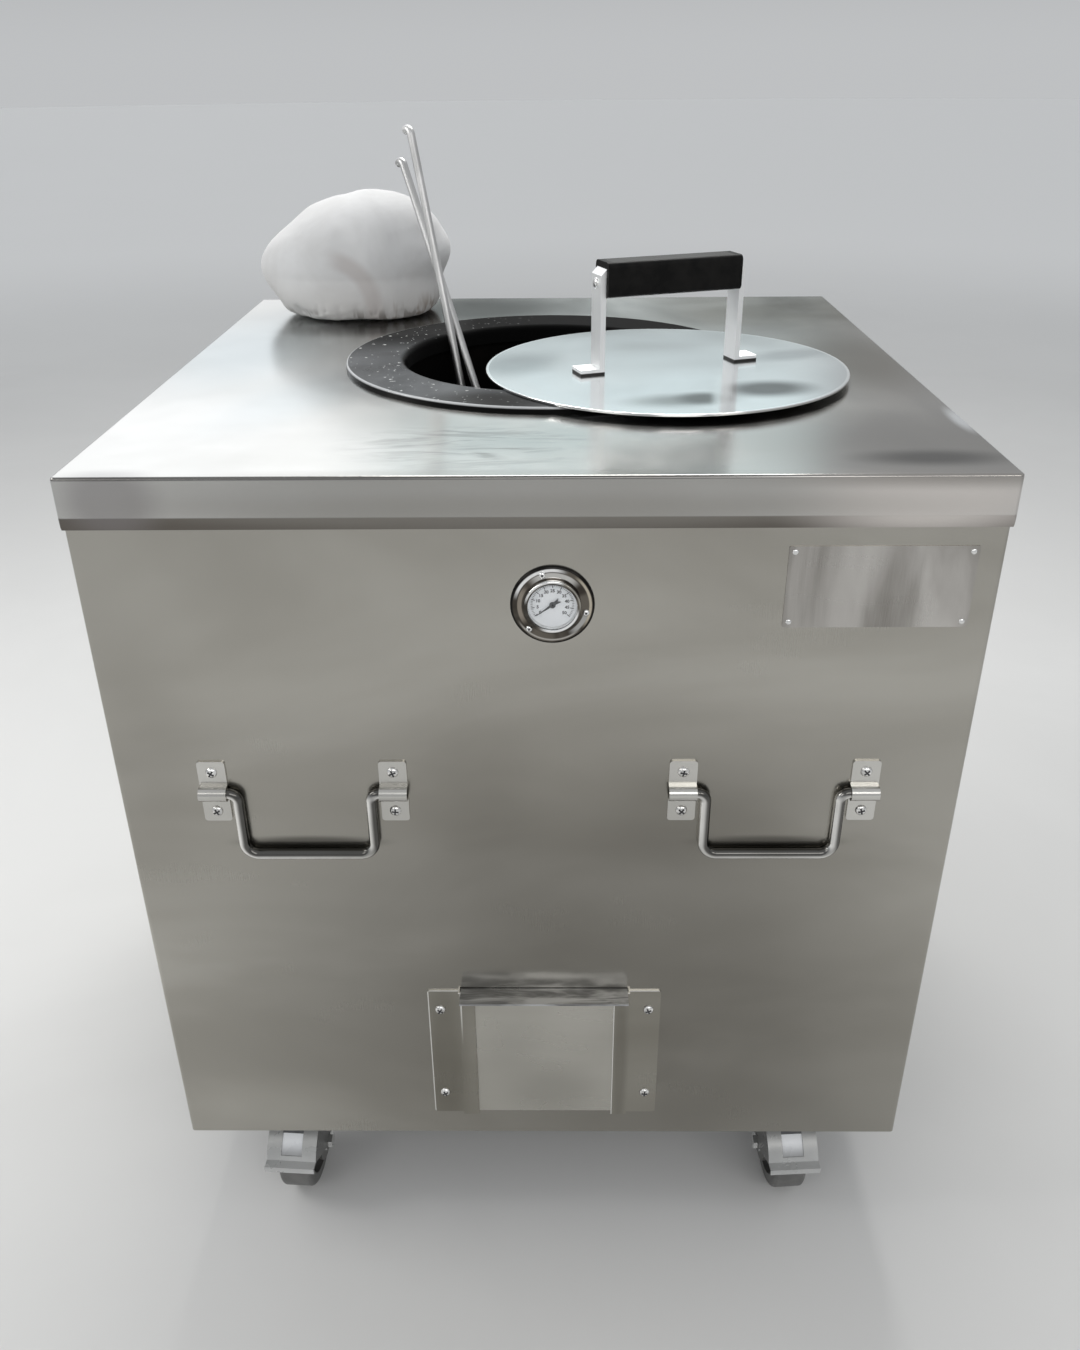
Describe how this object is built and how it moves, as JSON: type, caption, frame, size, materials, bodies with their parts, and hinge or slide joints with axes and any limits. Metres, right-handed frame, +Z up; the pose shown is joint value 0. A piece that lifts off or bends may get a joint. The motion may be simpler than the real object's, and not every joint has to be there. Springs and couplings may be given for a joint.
{
  "type": "square tandoor oven",
  "caption": "Square charcoal tandoor: a clay pot packed in an insulated steel cabinet on braked castors, with a lift-off lid, cast mouth ring, ash door, dial gauge, bail handles and tools.",
  "frame": {"origin": "on the floor under the middle of the square cabinet", "axes": "+Z up, -Y out of the front with the gauge and ash door, +X to the right seen from the front"},
  "size_m": [0.762, 0.7823, 1.0874],
  "materials": {
    "sheet_steel": "grained stainless",
    "lid_steel": "satin stainless",
    "bright_steel": "polished",
    "zinc_steel": "zinc plated",
    "frame_steel": "grey primer",
    "cast_iron": "dark, dusty",
    "clay": "unglazed, sooted inside",
    "firebrick": "unglazed",
    "mineral_wool": "loose fibre",
    "dial_white": "matt white, black figures",
    "pointer_black": "matt",
    "gauge_glass": "clear",
    "plate_metal": "brushed, bare",
    "grip_plastic": "glossy black",
    "castor_steel": "light grey",
    "castor_tread": "light grey",
    "castor_insert": "pale moulded plastic",
    "pad_cloth": "washed cotton, a little singed"
  },
  "bodies": {
    "cabinet": {"ash_throat": "frame_steel", "back_panel": "sheet_steel", "base_tray": "frame_steel", "castor_bolts": "zinc_steel", "clay_pot": "clay", "corner_posts": "frame_steel", "door_guide_screws": "zinc_steel", "fire_grate": "cast_iron", "front_left_castor_plate": "castor_steel", "front_panel": "sheet_steel", "front_right_castor_plate": "castor_steel", "gauge_bezel": "bright_steel", "gauge_case": "zinc_steel", "gauge_dial": "dial_white", "gauge_flange": "bright_steel", "gauge_lens": "gauge_glass", "gauge_screws": "zinc_steel", "handle_screws": "zinc_steel", "hearth_slab": "firebrick", "insulation_fill": "mineral_wool", "left_door_guide": "sheet_steel", "left_handle_straps": "sheet_steel", "left_panel": "sheet_steel", "mouth_ring": "cast_iron", "name_plate": "plate_metal", "name_plate_rivets": "plate_metal", "rear_left_castor_plate": "castor_steel", "rear_right_castor_plate": "castor_steel", "right_door_guide": "sheet_steel", "right_handle_straps": "sheet_steel", "right_panel": "sheet_steel", "top_cover": "sheet_steel"},
    "ash_door": {"ash_door": "sheet_steel"},
    "gauge_pointer": {"gauge_pointer": "pointer_black"},
    "left_handle": {"left_handle_bail": "bright_steel"},
    "right_handle": {"right_handle_bail": "bright_steel"},
    "lid": {"lid_disc": "lid_steel", "lid_strap": "lid_steel", "lid_grip": "grip_plastic", "lid_grip_screws": "zinc_steel"},
    "bread_pad": {"bread_pad": "pad_cloth"},
    "hook_rod": {"hook_rod": "zinc_steel"},
    "scraper_rod": {"scraper_rod": "zinc_steel"},
    "front_left_swivel": {"front_left_fork": "castor_steel", "front_left_axle": "zinc_steel"},
    "front_left_wheel": {"front_left_wheel": "castor_tread"},
    "front_left_pedal": {"front_left_pedal": "castor_steel", "front_left_pedal_insert": "castor_insert"},
    "front_right_swivel": {"front_right_fork": "castor_steel", "front_right_axle": "zinc_steel"},
    "front_right_wheel": {"front_right_wheel": "castor_tread"},
    "front_right_pedal": {"front_right_pedal": "castor_steel", "front_right_pedal_insert": "castor_insert"},
    "rear_left_swivel": {"rear_left_fork": "castor_steel", "rear_left_axle": "zinc_steel"},
    "rear_left_wheel": {"rear_left_wheel": "castor_tread"},
    "rear_right_swivel": {"rear_right_fork": "castor_steel", "rear_right_axle": "zinc_steel"},
    "rear_right_wheel": {"rear_right_wheel": "castor_tread"}
  },
  "joints": [
    {"name": "lid_lift", "type": "slide", "parent": "cabinet", "child": "lid", "axis": [0, 0, 1], "range_m": [0, 0.3]},
    {"name": "ash_door_slide", "type": "slide", "parent": "cabinet", "child": "ash_door", "axis": [0, 0, 1], "range_m": [0, 0.175]},
    {"name": "gauge_pointer_turn", "type": "hinge", "parent": "cabinet", "child": "gauge_pointer", "pos_m": [0.0134, -0.3785, 0.7534], "axis": [0, 1, 0], "range_deg": [0, 252]},
    {"name": "left_handle_swing", "type": "hinge", "parent": "cabinet", "child": "left_handle", "pos_m": [-0.2105, -0.3838, 0.57], "axis": [-1, 0, 0], "range_deg": [0, 180]},
    {"name": "right_handle_swing", "type": "hinge", "parent": "cabinet", "child": "right_handle", "pos_m": [0.2105, -0.3838, 0.57], "axis": [-1, 0, 0], "range_deg": [0, 180]},
    {"name": "bread_pad_lift", "type": "slide", "parent": "cabinet", "child": "bread_pad", "axis": [-0.8, 0, 0.6], "range_m": [0, 0.3]},
    {"name": "hook_rod_pull", "type": "slide", "parent": "cabinet", "child": "hook_rod", "axis": [-0.1805, 0.2128, 0.9603], "range_m": [0, 0.62]},
    {"name": "scraper_rod_pull", "type": "slide", "parent": "cabinet", "child": "scraper_rod", "axis": [-0.3073, 0.3809, 0.8721], "range_m": [0, 0.68]},
    {"name": "front_left_swivel_turn", "type": "hinge", "parent": "cabinet", "child": "front_left_swivel", "pos_m": [-0.272, -0.283, 0.12], "axis": [0, 0, 1], "continuous": true},
    {"name": "front_left_wheel_spin", "type": "hinge", "parent": "front_left_swivel", "child": "front_left_wheel", "pos_m": [-0.27432, -0.32093, 0.05], "axis": [0.9981, -0.061, 0], "continuous": true},
    {"name": "front_left_pedal_press", "type": "hinge", "parent": "front_left_swivel", "child": "front_left_pedal", "pos_m": [-0.27432, -0.32093, 0.05], "axis": [0.9981, -0.061, 0], "range_deg": [0, 12]},
    {"name": "front_right_swivel_turn", "type": "hinge", "parent": "cabinet", "child": "front_right_swivel", "pos_m": [0.272, -0.283, 0.12], "axis": [0, 0, 1], "continuous": true},
    {"name": "front_right_wheel_spin", "type": "hinge", "parent": "front_right_swivel", "child": "front_right_wheel", "pos_m": [0.27432, -0.32093, 0.05], "axis": [0.9981, 0.061, 0], "continuous": true},
    {"name": "front_right_pedal_press", "type": "hinge", "parent": "front_right_swivel", "child": "front_right_pedal", "pos_m": [0.27432, -0.32093, 0.05], "axis": [0.9981, 0.061, 0], "range_deg": [0, 12]},
    {"name": "rear_left_swivel_turn", "type": "hinge", "parent": "cabinet", "child": "rear_left_swivel", "pos_m": [-0.272, 0.283, 0.12], "axis": [0, 0, 1], "continuous": true},
    {"name": "rear_left_wheel_spin", "type": "hinge", "parent": "rear_left_swivel", "child": "rear_left_wheel", "pos_m": [-0.272, 0.321, 0.05], "axis": [1, 0, 0], "continuous": true},
    {"name": "rear_right_swivel_turn", "type": "hinge", "parent": "cabinet", "child": "rear_right_swivel", "pos_m": [0.272, 0.283, 0.12], "axis": [0, 0, 1], "continuous": true},
    {"name": "rear_right_wheel_spin", "type": "hinge", "parent": "rear_right_swivel", "child": "rear_right_wheel", "pos_m": [0.272, 0.321, 0.05], "axis": [1, 0, 0], "continuous": true}
  ]
}
